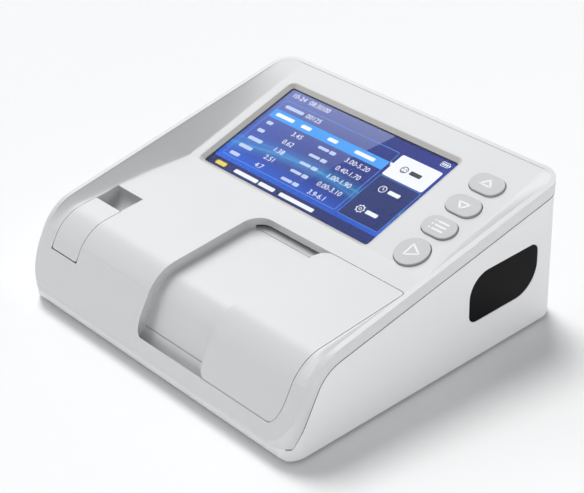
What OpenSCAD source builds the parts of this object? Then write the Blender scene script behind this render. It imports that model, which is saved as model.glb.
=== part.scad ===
// Benchtop dry chemistry analyzer: wedge-shaped case with a dished cover, a colour display, four keys,
// a motor-driven curved chamber door, a hinged chip-port flap and a black side window.
// Units are millimetres. X runs to the right, Y to the back, Z up. The feet stand on Z = 0.

/* [Case] */
// Width of the case
case_w = 160; // [152:1:180]
// Depth of the case
case_d = 146; // [142:1:160]
// Height of the back edge of the cover above the base plate
back_h = 61.2; // [59:0.2:66]
// Height of the front edge of the cover above the base plate
front_h = 8.1; // [7.5:0.1:9]
// Slope of the long side rims in degrees
rim_slope = 10.85; // [10:0.05:12]
// Slope of the steep front face in degrees
front_slope = 60.2; // [58:0.2:62]
// Radius of the rim where the front face turns into the long slope
shoulder_r = 21; // [19:0.5:24]
// Radius of the vertical corners, seen from above
corner_r = 9.5; // [8:0.5:12]
// Thickness of the rim band, measured square to its slope
rim_t = 5.1; // [4.4:0.1:6]
// Wall of the base housing
wall = 2.4; // [2:0.1:2.8]
// Skin of the cover
skin = 2.4; // [2:0.1:2.8]
// Height of the feet below the base plate
foot_h = 1.2; // [0.8:0.1:3]
// Air between pieces that move past each other
clearance = 0.3; // [0.25:0.05:0.4]

/* [Dished top] */
// Width of the flat strip that runs along the rim
strip_w = 2.2; // [1.8:0.1:3]
// Slope of the front part of the dish in degrees
dish_slope = 5; // [4:0.25:6]
// Radius of the dish where it turns down into the front face
dish_r = 18; // [17:0.5:20]
// Distance from the back edge to the fold where the console begins
console_len = 68; // [66:0.5:70]
// Drop of that fold below the back edge
console_drop = 20.9; // [20:0.1:22]
// Width of the left side slope beside the console
slope_left = 13.4; // [12:0.2:15]
// Width of the right side slope beside the console
slope_right = 9.4; // [8:0.2:10]

/* [Chamber] */
// Left edge of the chamber opening, from the middle
bay_left = -10; // [-12:0.5:-8]
// Distance of the opening's right edge from the side of the case
bay_side = 8; // [7:0.25:9]
// Front edge of the opening, from the front of the case
bay_front = 2.5; // [2.4:0.1:4]
// Back edge of the opening, in front of the console fold
bay_back = 10.7; // [10:0.1:12]
// Depth of the recess that the door slides over
recess_drop = 4.4; // [4:0.1:5]
// Part of the opening that the open door leaves clear at its far side
door_stop_gap = 2.3; // [2:0.1:3]
// Travel of the sliding door
door_travel = 36; // [30:0.5:36]
// Thickness of the door's skin
door_skin = 2; // [1.6:0.1:2.4]

/* [Port flap] */
// Distance of the flap's left edge from the side of the case
flap_side = 9; // [8:0.1:9.5]
// Width of the flap
flap_w = 16.4; // [16:0.1:17.4]
// Distance of the flap's back edge from the front of the case
flap_back = 31.9; // [31:0.1:33]
// Distance of the flap's front edge from the front of the case
flap_front = 8.2; // [7.8:0.1:9]
// Diameter of the hinge pin
hinge_pin_d = 1.2; // [1:0.1:1.3]
// Length of the finger scoop behind the flap
scoop_len = 11.6; // [11:0.2:12.6]
// Depth of the finger scoop
scoop_depth = 7; // [6:0.5:8]

/* [Display and keys] */
// Distance of the picture's left edge from the left side of the case
screen_left = 19.8; // [19.4:0.1:20.2]
// Distance of the picture's right edge from the right side of the case
screen_right = 42.2; // [41.8:0.1:42.6]
// Height of the picture inside the display frame
screen_h = 53.6; // [52.6:0.2:54.4]
// Lower edge of the picture, up the console from its fold
screen_v = 2.1; // [1.9:0.1:2.5]
// Width of the sloping display frame
frame_w = 2; // [1.6:0.1:2.2]
// Depth of the picture below the console
screen_sink = 1.5; // [1:0.1:1.6]
// Distance of the key column's middle from the right side of the case
key_side = 22.6; // [22:0.1:23]
// Length of a key across the console
key_w = 15.6; // [15:0.1:16.4]
// Height of a key up the console
key_h = 10.2; // [9.6:0.1:10.6]
// Diameter of the start key
start_d = 14.4; // [13.8:0.1:14.8]
// Distance of the start key from the fold, up the console
start_v = 7.8; // [7.6:0.1:8.4]
// Spacing of the three upper keys
key_pitch = 13.8; // [13.4:0.1:14.4]
// Height that a key stands above the console
key_rise = 0.9; // [0.8:0.1:1.2]
// Travel of a key
key_travel = 0.8; // [0.5:0.1:0.8]

/* [Side window] */
// Length of the black side window
window_l = 38.3; // [37:0.1:39]
// Height of the side window
window_h = 20.7; // [20:0.1:21]
// Distance from the back of the case to the window
window_back = 14.2; // [13.5:0.1:15]
// Height of the window's lower edge above the base plate
window_z = 16.5; // [16:0.1:17.5]
// Thickness of the window
window_t = 1.6; // [1.4:0.1:1.8]

/* [Inside] */
// Diameter of the screw bosses
boss_d = 7; // [6.6:0.1:7.4]
// Diameter of the case screws
screw_d = 3; // [2.5:0.5:3]
// Height where the base bosses meet the cover bosses
split_h = 22; // [20:0.5:24]
// Thickness of the circuit boards
board_t = 1.6; // [1.2:0.1:1.6]
// Height of the main board above the base plate
board_z = 9; // [8.5:0.5:10]
// Tooth size of the door drive, pitch diameter per tooth
gear_module = 0.8; // [0.7:0.05:0.8]
// Teeth on the drive pinion
pinion_teeth = 14; // [13:1:14]
// Diameter of the motor shaft
shaft_d = 3; // [2.8:0.1:3.2]

/* [Hidden] */
$fn = 96;

half_w = case_w / 2;
half_d = case_d / 2;
console_left = half_w - slope_left;
console_right = half_w - slope_right;
bay_right = half_w - bay_side;
door_w = bay_right - clearance - door_travel - bay_left - door_stop_gap;
flap_left = -half_w + flap_side;
screen_w = case_w - screen_left - screen_right;
screen_x = (screen_left - screen_right) / 2;
key_x = half_w - key_side;
front_pt = [-half_d, front_h];
back_pt = [half_d, back_h];
fold_pt = [half_d - console_len, back_h - console_drop];
console_tilt = atan(console_drop / console_len);
seam_front = front_h - 2.5;
seam_groove = 0.5;
seam_depth = 0.8;
base_inset = 0.3;
cover_inset = base_inset + wall + clearance;
far = 200;

function dir(a) = [cos(a), sin(a)];
function inward(a) = [sin(a), -cos(a)];
function cross2(p, q) = p[0] * q[1] - p[1] * q[0];
function meet(p, a, q, b) = p + dir(a) * cross2(q - p, dir(b)) / cross2(dir(a), dir(b));

rim_c = meet(front_pt + shoulder_r * inward(front_slope), front_slope,
    back_pt + shoulder_r * inward(rim_slope), rim_slope);
dish_c = meet(front_pt + dish_r * inward(front_slope), front_slope,
    fold_pt + dish_r * inward(dish_slope), dish_slope);

function arc_top(c, r, y) = c[1] + sqrt(max(0, r * r - pow(y - c[0], 2)));
function steep_at(y) = front_h + (y + half_d) * tan(front_slope);
function rim_at(y) =
    y > rim_c[0] - shoulder_r * sin(rim_slope) ? back_h - (half_d - y) * tan(rim_slope)
    : y < rim_c[0] - shoulder_r * sin(front_slope) ? steep_at(y)
    : arc_top(rim_c, shoulder_r, y);
function dish_at(y) =
    y > fold_pt[0] ? fold_pt[1] + (y - fold_pt[0]) * tan(console_tilt)
    : y > dish_c[0] - dish_r * sin(dish_slope) ? fold_pt[1] + (y - fold_pt[0]) * tan(dish_slope)
    : y < dish_c[0] - dish_r * sin(front_slope) ? steep_at(y)
    : arc_top(dish_c, dish_r, y);

// The opening, the door and the flap in plan.
bay_y0 = -half_d + bay_front;
bay_y1 = fold_pt[0] - bay_back;
bay_radii = [4, 5, 2, 8];
door_x1 = bay_right - clearance;
door_x0 = door_x1 - door_w;
door_y0 = bay_y0 + clearance;
door_y1 = bay_y1 - clearance;
door_t = recess_drop - clearance - 0.1;
door_radii = [3, 4.7, 1.7, 6];
floor_t = 2;
runner_t = 0.6;
runner_top = door_t - runner_t;
runner_y1 = bay_y1 + 5.2;
flap_right = flap_left + flap_w;
flap_y1 = -half_d + flap_back;
flap_t = 1.8;
flap_cr = 1.2;
barrel_r = 1.1;
flap_y0 = -half_d + flap_front;
hinge_depth = barrel_r + 0.15;
hinge = [flap_y0, steep_at(flap_y0)] + dir(front_slope) + hinge_depth * inward(front_slope);
scoop_y1 = flap_y1 + scoop_len;
bay_floor = seam_front + 1.5;
bay_floor_t = 1.2;
flange_w = 1.6;

// The console's own frame: v runs up the slope from the fold, n stands square to it.
module on_console(x, v, n = 0) {
    translate([x, fold_pt[0], fold_pt[1]])
        rotate([console_tilt, 0, 0])
            translate([0, v, n])
                children();
}

// The front part of the dish has the same kind of frame, with v running back from the fold.
module on_dish(x, v, n = 0) {
    translate([x, fold_pt[0], fold_pt[1]])
        rotate([dish_slope, 0, 0])
            translate([0, v, n])
                children();
}

// Everything is drawn from the underside of the base plate and stood on the feet.
module lift() {
    translate([0, 0, foot_h])
        children();
}

module along_x(x0, x1) {
    translate([x0, 0, 0])
        rotate([90, 0, 90])
            linear_extrude(x1 - x0)
                children();
}

// A rectangle whose four corners have their own radii: front left, front right, back right, back left.
module round_rect(x0, y0, x1, y1, r) {
    intersection() {
        translate([x0, y0])
            square([x1 - x0, y1 - y0]);
        union() {
            polygon([[x0 + r[0], y0], [x1 - r[1], y0], [x1, y0 + r[1]], [x1, y1 - r[2]],
                [x1 - r[2], y1], [x0 + r[3], y1], [x0, y1 - r[3]], [x0, y0 + r[0]]]);
            translate([x0 + r[0], y0 + r[0]])
                circle(r[0]);
            translate([x1 - r[1], y0 + r[1]])
                circle(r[1]);
            translate([x1 - r[2], y1 - r[2]])
                circle(r[2]);
            translate([x0 + r[3], y1 - r[3]])
                circle(r[3]);
        }
    }
}

module plan(inset) {
    r = corner_r - inset;
    round_rect(inset - half_w, inset - half_d, half_w - inset, half_d - inset, [r, r, r, r]);
}

module column(inset, z0 = 0, z1 = 90) {
    translate([0, 0, z0])
        linear_extrude(z1 - z0)
            plan(inset);
}

// The arc crosses the straight runs a hair outside their tangent points, so no edge is left too short to keep.
arc_lift = 0.001;
arc_overrun = 1.5;
module sector(c, r, a, b) {
    intersection() {
        translate(c)
            circle(r + arc_lift);
        polygon([c, c - 2 * r * inward(b - arc_overrun), c - 2 * r * inward(a + arc_overrun)]);
    }
}

// What lies below the rim surface lowered by t, seen from the right.
module below_rim(t) {
    low = rim_c - (shoulder_r - t) * inward(front_slope);
    high = rim_c - (shoulder_r - t) * inward(rim_slope);
    polygon([[far, -far / 2], high + far * dir(rim_slope), high, low, low - far / 2 * dir(front_slope)]);
    sector(rim_c, shoulder_r - t, front_slope, rim_slope);
}

// What lies below the dish and the console lowered by t.
module below_dish(t) {
    low = dish_c - (dish_r - t) * inward(front_slope);
    high = dish_c - (dish_r - t) * inward(dish_slope);
    fold = meet(fold_pt + t * inward(dish_slope), dish_slope,
        fold_pt + t * inward(console_tilt), console_tilt);
    polygon([[far, -far / 2], fold + far * dir(console_tilt), fold, high, low,
        low - far / 2 * dir(front_slope)]);
    sector(dish_c, dish_r - t, front_slope, dish_slope);
}

// The split between the cover and the base follows the rim and runs level across the front.
module below_seam(t) {
    below_rim(rim_t + t);
    translate([-far, -far])
        square([2 * far, far + seam_front - t]);
}

module dish_layer(t0, t1, x0, x1) {
    along_x(x0, x1)
        difference() {
            below_dish(t0);
            below_dish(t1);
        }
}

// Side slopes of the dish, drawn through cross-sections from the shoulder to the back edge.
dish_y0 = dish_c[0] - dish_r * sin(front_slope) + 0.8;
dish_y1 = half_d - 1.8;
dish_cr = corner_r - strip_w;
arc_stations = 9;
front_stations = 14;
back_stations = 16;
ramp_points = 4;
crease_points = 4;
arc_y1 = dish_c[0] - dish_r * sin(dish_slope);
stations = concat(
    [for (i = [0:arc_stations - 1]) dish_y0 + (arc_y1 - dish_y0) * i / arc_stations],
    [for (i = [0:front_stations - 1]) arc_y1 + (fold_pt[0] - arc_y1) * i / front_stations],
    [for (i = [0:back_stations]) fold_pt[0] + (dish_y1 - fold_pt[0]) * sin(90 * i / back_stations)]);

function outer_x(y) =
    let (over = y - (dish_y1 - dish_cr))
    half_w - strip_w - (over > 0 ? dish_cr - sqrt(max(0, dish_cr * dish_cr - over * over)) : 0);
function inner_x(y, edge, spread, power) =
    let (share = max(0, (fold_pt[0] - y) / (fold_pt[0] - dish_y0)))
    min(edge + spread * pow(share, power), outer_x(y) - 0.4);

// A side slope has a steep band beside the rim and a gentler ramp up to it. The band narrows towards
// the front, where the ramp takes over. Shares run from 0 at the rim to 1 at the foot of the slope.
band_end = 24;
function band_share(y, fade) =
    fade > 0 ? min(0.9, max(0.06, 1 - (fold_pt[0] - y) / fade)) : 0.5;
function band_foot(w) = (1 - w) * (1 - 0.45 * w);
function slope_rise(u, w) =
    u > w ? band_foot(w) * pow((1 - u) / (1 - w), 1.35)
    : band_foot(w) + (1 - band_foot(w)) * (0.75 * (1 - u / w) + 0.25 * pow(1 - u / w, 2));
function slope_shares(w) = concat(
    [for (k = [ramp_points:-1:1]) w + (1 - w) * k / ramp_points],
    [for (k = [crease_points:-1:0]) w * k / crease_points]);
function side_section(y, edge, spread, power, fade) =
    let (xi = inner_x(y, edge, spread, power), xo = outer_x(y), zi = dish_at(y), zr = rim_at(y),
        zo = zr - min(0.2, 0.1 * (zr - zi)), w = band_share(y, fade))
    concat([[edge - 1, y, zi]],
        [for (u = slope_shares(w)) [xo + (xi - xo) * u, y, zi + (zo - zi) * slope_rise(u, w)]],
        [[xo, y, zo + 6], [edge - 1, y, zo + 6]]);

module loft(sections) {
    n = len(sections[0]);
    m = len(sections);
    points = [for (s = sections) for (p = s) p];
    sides = [for (i = [0:m - 2]) for (k = [0:n - 1])
        let (a = i * n + k, b = i * n + (k + 1) % n)
        each [[a, b, b + n], [a, b + n, a + n]]];
    front = [[for (k = [n - 1:-1:0]) k]];
    back = [[for (k = [0:n - 1]) (m - 1) * n + k]];
    polyhedron(points, concat(sides, front, back), convexity = 6);
}

module dish() {
    along_x(-console_left, console_right)
        intersection() {
            difference() {
                below_rim(-6);
                below_dish(0);
            }
            translate([dish_y0, 0])
                square([dish_y1 - dish_y0, far]);
        }
    loft([for (y = stations) side_section(y, console_right, 2.8, 0.5, 0)]);
    mirror([1, 0, 0])
        loft([for (y = stations) side_section(y, console_left, 7, 1, band_end)]);
}

// The chamber opening in plan, grown by g.
module bay_plan(g) {
    r = [for (a = bay_radii) a + g];
    round_rect(bay_left - g, bay_y0 - g, bay_right + g, bay_y1 + g, r);
}

module bay_column(g) {
    linear_extrude(90)
        bay_plan(g);
}

// Screws come up through the base bosses into the cover.
screw_spots = [[-half_w + 7.6, half_d - 11], [half_w - 7.6, half_d - 11],
    [-half_w + 7.6, fold_pt[0] - 21], [half_w - 7.6, fold_pt[0]]];
foot_spots = [for (sx = [-1, 1]) for (sy = [-1, 1]) [sx * (half_w - 17), sy * (half_d - 17)]];
foot_d = 12;
foot_seat = 0.8;
head_d = 5.6;
head_t = 2;
head_z = 5;

function frame_out_w() = screen_w + 2 * frame_w;
function frame_out_h() = screen_h + 2 * frame_w;
screen_mid_v = screen_v + screen_h / 2;
frame_r = 3.2;
lcd_w = screen_w + 7;
lcd_h = screen_h + 13;
lcd_t = 3;
glass_t = 1.1;
lcd_top = -screen_sink - glass_t - 0.1;
ear_x = lcd_w / 2 + 2.4;
ear_spots = [[-ear_x, -20], [-ear_x, 20], [ear_x, 2.4 - screen_mid_v], [ear_x, 57.5 - screen_mid_v]];
ear_t = 1.2;
key_spots = [for (i = [2, 1, 0]) start_v + 15.4 + i * key_pitch];

module pill(w, h, r) {
    round_rect(-w / 2, -h / 2, w / 2, h / 2, [r, r, r, r]);
}

// Side window outline, seen from the right: the front top and the back bottom corners are generous.
window_y1 = half_d - window_back;
window_y0 = window_y1 - window_l;
window_r = [4, 12, 4, 10];
module window_shape(g) {
    r = [for (a = window_r) a + g];
    round_rect(window_y0 - g, window_z - g, window_y1 + g, window_z + window_h + g, r);
}

// Connectors on the back wall.
jack_x = -half_w + 28;
port_x = -half_w + 48;
switch_x = half_w - 28;
socket_z = board_z + board_t;
jack_hole = 9;
port_w = 12.6;
port_h = 11.4;
switch_w = 19.4;
switch_h = 13.2;
switch_z = 26;

module vent_slots() {
    for (i = [0:4])
        translate([speaker_x + (i - 2) * 3.2, speaker_y, -1])
            linear_extrude(wall + 2)
                pill(1.6, 13, 0.8);
}

board_x0 = -half_w + 14;
board_w = 0.55 * case_w;
board_y0 = 2;
board_y1 = half_d - wall - 4;
board_spots = [for (x = [board_x0 + 4, board_x0 + board_w - 4]) for (y = [board_y0 + 4, board_y1 - 6.6])
    [x, y]];
battery_pitch = 18.6;
battery_cell_d = 17.6;
battery_cells = 3;
battery_w = battery_cells * battery_pitch;
battery_d = 36;
battery_x = -36;
battery_y = -20;
speaker_x = -32;
speaker_y = -53;
speaker_d = 20;
module base_housing() {
    lift() color("whitesmoke")
        difference() {
            union() {
                difference() {
                    intersection() {
                        column(base_inset);
                        along_x(-half_w, half_w)
                            difference() {
                                below_seam(0);
                                polygon([[-half_d - 1, -1], [-half_d + 2.9, -1], [-half_d + 2.9, 0],
                                    [-half_d + 1.2, 1.5], [-half_d + 0.3, 4], [-half_d - 1, 4]]);
                                translate([-far, -far])
                                    square([2 * far, far]);
                            }
                    }
                    intersection() {
                        column(base_inset + wall, wall);
                        translate([-far, -far, 0])
                            cube([2 * far, 2 * far, far]);
                    }
                    difference() {
                        intersection() {
                            column(0);
                            along_x(-half_w, half_w)
                                difference() {
                                    below_rim(rim_t - 1);
                                    below_seam(seam_groove);
                                }
                        }
                        column(base_inset + seam_depth, -1, 91);
                    }
                }
                for (s = screw_spots)
                    translate([s[0], s[1], 0.5])
                        cylinder(d = boss_d + 2, h = split_h - 0.5);
                for (s = board_spots)
                    translate([s[0], s[1], 1])
                        cylinder(d = 6, h = board_z - 1);
                // Cradle ribs of the battery.
                for (sx = [-1, 1])
                    translate([battery_x + sx * (battery_w / 2 + clearance + 0.8) - 0.8,
                        battery_y - 14, 1])
                        cube([1.6, 28, 9]);
                // Shelf ribs under the scanner.
                for (x = [scanner_x0 + 1, scanner_x0 + 9])
                    translate([x, window_y0 + 9, 1])
                        cube([1.6, 20, scanner_z - 1]);
                // Window surround inside the right wall.
                intersection() {
                    column(base_inset);
                    along_x(half_w - base_inset - wall - 1.2, half_w - base_inset)
                        window_shape(2.4);
                }
                // Posts under the chamber deck.
                intersection() {
                    for (p = deck_posts)
                        translate([p[0], p[1], 1])
                            cylinder(d = 6, h = far);
                    along_x(-half_w, half_w)
                        below_dish(recess_drop + floor_t);
                }
            }
            for (s = screw_spots) {
                translate([s[0], s[1], -1])
                    cylinder(d = screw_d + 0.4, h = split_h + 2);
                translate([s[0], s[1], -1])
                    cylinder(d = head_d + 0.6, h = head_z + 1);
            }
            for (s = board_spots)
                translate([s[0], s[1], board_z - 6])
                    cylinder(d = 2.1, h = 7);
            for (s = foot_spots)
                translate([s[0], s[1], -1])
                    cylinder(d = foot_d + 0.4, h = 1 + foot_seat);
            // Window pocket and the light opening behind it.
            along_x(half_w - base_inset - window_t, half_w + 1)
                window_shape(0.1);
            along_x(half_w - base_inset - wall - 3, half_w)
                window_shape(-2);
            // Back wall cut-outs.
            translate([jack_x, half_d + 1, socket_z + 5.5])
                rotate([90, 0, 0])
                    cylinder(d = jack_hole, h = wall + 3);
            translate([port_x - port_w / 2, half_d - wall - 2, socket_z])
                cube([port_w, wall + 3, port_h]);
            translate([switch_x - switch_w / 2, half_d - wall - 2, switch_z - switch_h / 2])
                cube([switch_w, wall + 3, switch_h]);
            vent_slots();
        }
}

flap_well_floor = 17;
well_wall = 1.6;

// Outline of the flap, grown by g: cut square to the front face below and upright at the back.
module flap_prism(g) {
    r = [flap_cr + g, flap_cr + g, 0.4, 0.4];
    intersection() {
        translate([0, flap_y0, steep_at(flap_y0)])
            rotate([front_slope, 0, 0])
                translate([0, 0, -25])
                    linear_extrude(50)
                        round_rect(flap_left - g, -g, flap_right + g, 60, r);
        translate([-half_w, -half_d, 0])
            cube([half_w, flap_y1 + g + half_d, far]);
    }
}

// Side view of the finger scoop: a round back wall that runs down to a flat floor.
scoop_r = 7.5;
scoop_floor = dish_at(flap_y1) - scoop_depth;
module scoop_profile(g) {
    polygon([[flap_y1 - 4, scoop_floor - g], [scoop_y1 - scoop_r, scoop_floor - g],
        [scoop_y1 - scoop_r, far], [flap_y1 - 4, far]]);
    intersection() {
        translate([scoop_y1 - scoop_r, scoop_floor + scoop_r])
            circle(scoop_r + g);
        translate([flap_y1 - 4, scoop_floor - 2 * g])
            square([far, scoop_r + 2 * g]);
    }
    translate([flap_y1 - 4, scoop_floor + scoop_r])
        square([scoop_y1 + g - flap_y1 + 4, far]);
}

module top_cover() {
    lift() color("gainsboro")
        difference() {
            union() {
                difference() {
                    intersection() {
                        column(0);
                        along_x(-half_w, half_w)
                            below_rim(0);
                    }
                    difference() {
                        along_x(-far, far)
                            below_seam(0);
                        column(cover_inset, -1, 91);
                    }
                    intersection() {
                        column(cover_inset, -1, 91);
                        along_x(-far, far)
                            below_dish(skin);
                    }
                    dish();
                }
                // Screw bosses under the cover.
                for (s = screw_spots)
                    intersection() {
                        translate([s[0], s[1], split_h])
                            cylinder(d = boss_d, h = far);
                        along_x(-half_w, half_w)
                            below_dish(skin / 2);
                    }
                // Display posts.
                for (e = ear_spots)
                    on_console(screen_x + e[0], screen_mid_v + e[1], lcd_top - lcd_t + ear_t)
                        cylinder(d = 4.4, h = lcd_t - ear_t - lcd_top - skin / 2);
                // Key board posts.
                for (e = key_posts)
                    on_console(e[0], e[1], key_board_n)
                        cylinder(d = 4, h = -key_board_n - skin / 2);
                // Rim around the chamber opening, down to the recess floor.
                intersection() {
                    bay_column(flange_w);
                    dish_layer(skin / 2, recess_drop, bay_left - 3, bay_right + 3);
                    translate([-far, -far, bay_floor])
                        cube([2 * far, 2 * far, far]);
                }
                // Box of the chip well and shell of the finger scoop.
                intersection() {
                    translate([flap_left - 0.4, flap_y0 + 1, flap_well_floor - well_wall])
                        cube([flap_w + 0.8, flap_y1 - flap_y0, far]);
                    along_x(-half_w, half_w)
                        below_dish(skin / 2);
                }
                intersection() {
                    along_x(flap_left - well_wall, flap_right + well_wall)
                        intersection() {
                            scoop_profile(well_wall);
                            below_dish(skin / 2);
                        }
                    column(cover_inset - 1);
                }
            }
            // Chip well, open under the flap.
            translate([flap_left + well_wall, flap_y0 + 1 + well_wall, flap_well_floor])
                cube([flap_w - 2 * well_wall, flap_y1 - flap_y0 - 2 * well_wall, far]);
            along_x(flap_left, flap_right)
                scoop_profile(0);
            // Seat of the flap, with a round relief along its hinge.
            intersection() {
                flap_prism(clearance);
                dish_layer(-5, flap_t + clearance, flap_left - 1, flap_right + 1);
            }
            along_x(flap_left - clearance - 0.1, flap_right + clearance + 0.1)
                translate(hinge)
                    circle(norm([1, hinge_depth]) + clearance);
            translate([flap_left - 1.6, hinge[0], hinge[1]])
                rotate([0, 90, 0])
                    cylinder(d = hinge_pin_d, h = flap_w + 3.2);
            translate([0, 0, bay_floor])
                bay_column(0);
            // Slot for the door's runner at the foot of the opening's back wall.
            intersection() {
                dish_layer(runner_top - clearance, recess_drop + 0.01, bay_left - 0.01, bay_right + 0.01);
                translate([-far, bay_y1 - 3, 0])
                    cube([2 * far, flange_w + 3.5, far]);
            }
            // Display opening, keys and screw pilots.
            on_console(screen_x, screen_mid_v, -far / 2)
                linear_extrude(far)
                    pill(frame_out_w() + 0.1, frame_out_h() + 0.1, frame_r + 0.05);
            for (v = key_spots)
                on_console(key_x, v, -skin - 3)
                    linear_extrude(far)
                        pill(key_w + 2 * clearance, key_h + 2 * clearance, key_h / 2 + clearance);
            on_console(key_x, start_v, -skin - 3)
                cylinder(d = start_d + 2 * clearance, h = far);
            for (s = screw_spots)
                translate([s[0], s[1], split_h - 1])
                    cylinder(d = screw_d - 0.1, h = 14);
            for (e = ear_spots)
                on_console(screen_x + e[0], screen_mid_v + e[1], lcd_top - lcd_t)
                    cylinder(d = 2, h = 4);
            for (e = key_posts)
                on_console(e[0], e[1], key_board_n - 1)
                    cylinder(d = 2, h = 5);
        }
}

// Posts that carry the deck stand on the base plate.
bay_len = bay_y1 - bay_y0;
deck_posts = [[bay_left + 7, bay_y1 - 8], [bay_left + 12, bay_y0 + 18.8],
    [bay_left + 34, bay_y0 + 16.8], [bay_left + 36, bay_y1 - 9]];
well_x0 = bay_right - 35;
well_x1 = bay_right - 3;
well_w = well_x1 - well_x0;
well_len = bay_len - 31.8;
well_v1 = -bay_back - 6.3;
well_v0 = well_v1 - well_len;

module well_plan(g) {
    translate([(well_x0 + well_x1) / 2, (well_v0 + well_v1) / 2])
        pill(well_w + 2 * g, well_len + 2 * g, 3 + g);
}

module chamber_deck() {
    lift() color("gainsboro")
        difference() {
            intersection() {
                bay_column(flange_w);
                column(cover_inset + 0.1);
                along_x(bay_left - 3, bay_right + 3)
                    difference() {
                        union() {
                            below_dish(recess_drop);
                            translate([-far, -far])
                                square([far + fold_pt[0] - 40, far + bay_floor]);
                        }
                        below_dish(recess_drop + floor_t);
                        translate([-far, -far])
                            square([2 * far, far + bay_floor - bay_floor_t]);
                    }
            }
            // Hairline grooves along the front and the back of the recess floor.
            for (y = [bay_y0 + 5.8, bay_y1 - 3.1])
                intersection() {
                    dish_layer(recess_drop - 1, recess_drop + 0.4, bay_left, door_x0 + 10);
                    translate([bay_left, y - 0.15, 0])
                        cube([bay_right - bay_left, 0.3, far]);
                }
            // Chamber well.
            on_dish(0, 0, -recess_drop - floor_t - 2)
                linear_extrude(floor_t + 6)
                    well_plan(0);
        }
}

module door_outline(inset) {
    r = [for (a = door_radii) max(a - inset, 0.3)];
    round_rect(door_x0 + inset, door_y0 + inset, door_x1 - inset, door_y1 - inset, r);
}

module chamber_door() {
    lift() color("gainsboro")
        difference() {
            intersection() {
                linear_extrude(90)
                    door_outline(0);
                dish_layer(0, door_t, door_x0 - 1, door_x1 + 1);
                translate([-far, -far, bay_floor + clearance])
                    cube([2 * far, 2 * far, far]);
            }
            // Hollow underside with two cross ribs left standing.
            for (k = [0:2])
                intersection() {
                    linear_extrude(90)
                        door_outline(door_skin);
                    dish_layer(door_skin, door_t + 2, door_x0 - 1, door_x1 + 1);
                    translate([door_x0 + door_skin + k * (door_w - 2 * door_skin + 1.4) / 3, -far, 0])
                        cube([(door_w - 2 * door_skin + 1.4) / 3 - 1.4, 2 * far, far]);
                }
            // Seat of the steel runner in the back wall.
            intersection() {
                dish_layer(runner_top, door_t + 1, door_x0 - 1, door_x1 + 1);
                translate([door_x0 + 1, door_y1 - 9, 0])
                    cube([door_w - 2, 20, far]);
            }
        }
}

module door_runner() {
    lift() color("silver")
        intersection() {
            dish_layer(runner_top, door_t, door_x0 + 1.1, door_x1 - 1.1);
            translate([-far, door_y1 - 8.9, 0])
                cube([2 * far, runner_y1 - door_y1 + 8.9, far]);
        }
}

pinion_r = gear_module * pinion_teeth / 2;
tooth_pitch = gear_module * PI;
tooth_root = 1.5 * gear_module;
tooth_tip = 0.8 * gear_module;
tooth_shape = [[-0.4 * tooth_pitch, -tooth_root], [0.4 * tooth_pitch, -tooth_root],
    [0.12 * tooth_pitch, tooth_tip], [-0.12 * tooth_pitch, tooth_tip]];
rack_y0 = bay_y1 + 2.5;
rack_d = 2.4;
rack_top = dish_at(rack_y0) - door_t / cos(dish_slope) - 0.02;
rack_back = rack_top - 1.2;
rack_pitch_z = rack_back - tooth_root;
rack_teeth = floor((door_w - 4) / tooth_pitch);
pinion_x = door_x0 + 3.2;
pinion_y0 = rack_y0 - 0.3;
pinion_z = rack_pitch_z - pinion_r - 0.15;

module door_rack() {
    lift() color("ivory")
        translate([0, rack_y0 + rack_d, 0])
            rotate([90, 0, 0])
                linear_extrude(rack_d)
                    union() {
                        translate([pinion_x - tooth_pitch, rack_back - 0.1])
                            square([rack_teeth * tooth_pitch, rack_top - rack_back + 0.1]);
                        for (i = [0:rack_teeth - 1])
                            translate([pinion_x + (i - 0.5) * tooth_pitch, rack_pitch_z])
                                rotate(180)
                                    polygon(tooth_shape);
                    }
}

module drive_pinion() {
    lift() color("ivory")
        difference() {
            translate([pinion_x, pinion_y0 + rack_d + 0.6, pinion_z])
                rotate([90, 0, 0])
                    linear_extrude(rack_d + 0.6)
                        union() {
                            circle(pinion_r - 1.1 * gear_module);
                            for (i = [0:pinion_teeth - 1])
                                rotate(i * 360 / pinion_teeth)
                                    translate([0, pinion_r])
                                        polygon(tooth_shape);
                        }
            translate([pinion_x, 0, pinion_z])
                rotate([90, 0, 0])
                    cylinder(d = shaft_d, h = far, center = true);
        }
}

shaft_y0 = pinion_y0 - 0.2;
motor_y0 = pinion_y0 + rack_d + 2;
motor_l = 24;
motor_w = 12;
motor_h = 10;

module motor_shaft() {
    lift() color("silver")
        translate([pinion_x, shaft_y0, pinion_z])
            rotate([-90, 0, 0])
                cylinder(d = shaft_d, h = motor_y0 - shaft_y0 + 8);
}

module drive_motor() {
    lift() color("gray")
        difference() {
            union() {
                translate([pinion_x - motor_w / 2, motor_y0, pinion_z - motor_h / 2])
                    cube([motor_w, 9, motor_h]);
                translate([pinion_x, motor_y0 + 9, pinion_z])
                    rotate([-90, 0, 0])
                        intersection() {
                            cylinder(d = motor_w, h = motor_l - 9);
                            translate([-motor_w / 2, -motor_h / 2, 0])
                                cube([motor_w, motor_h, motor_l]);
                        }
            }
            translate([pinion_x, motor_y0 - 1, pinion_z])
                rotate([-90, 0, 0])
                    cylinder(d = shaft_d + 0.1, h = 10);
        }
}

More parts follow.
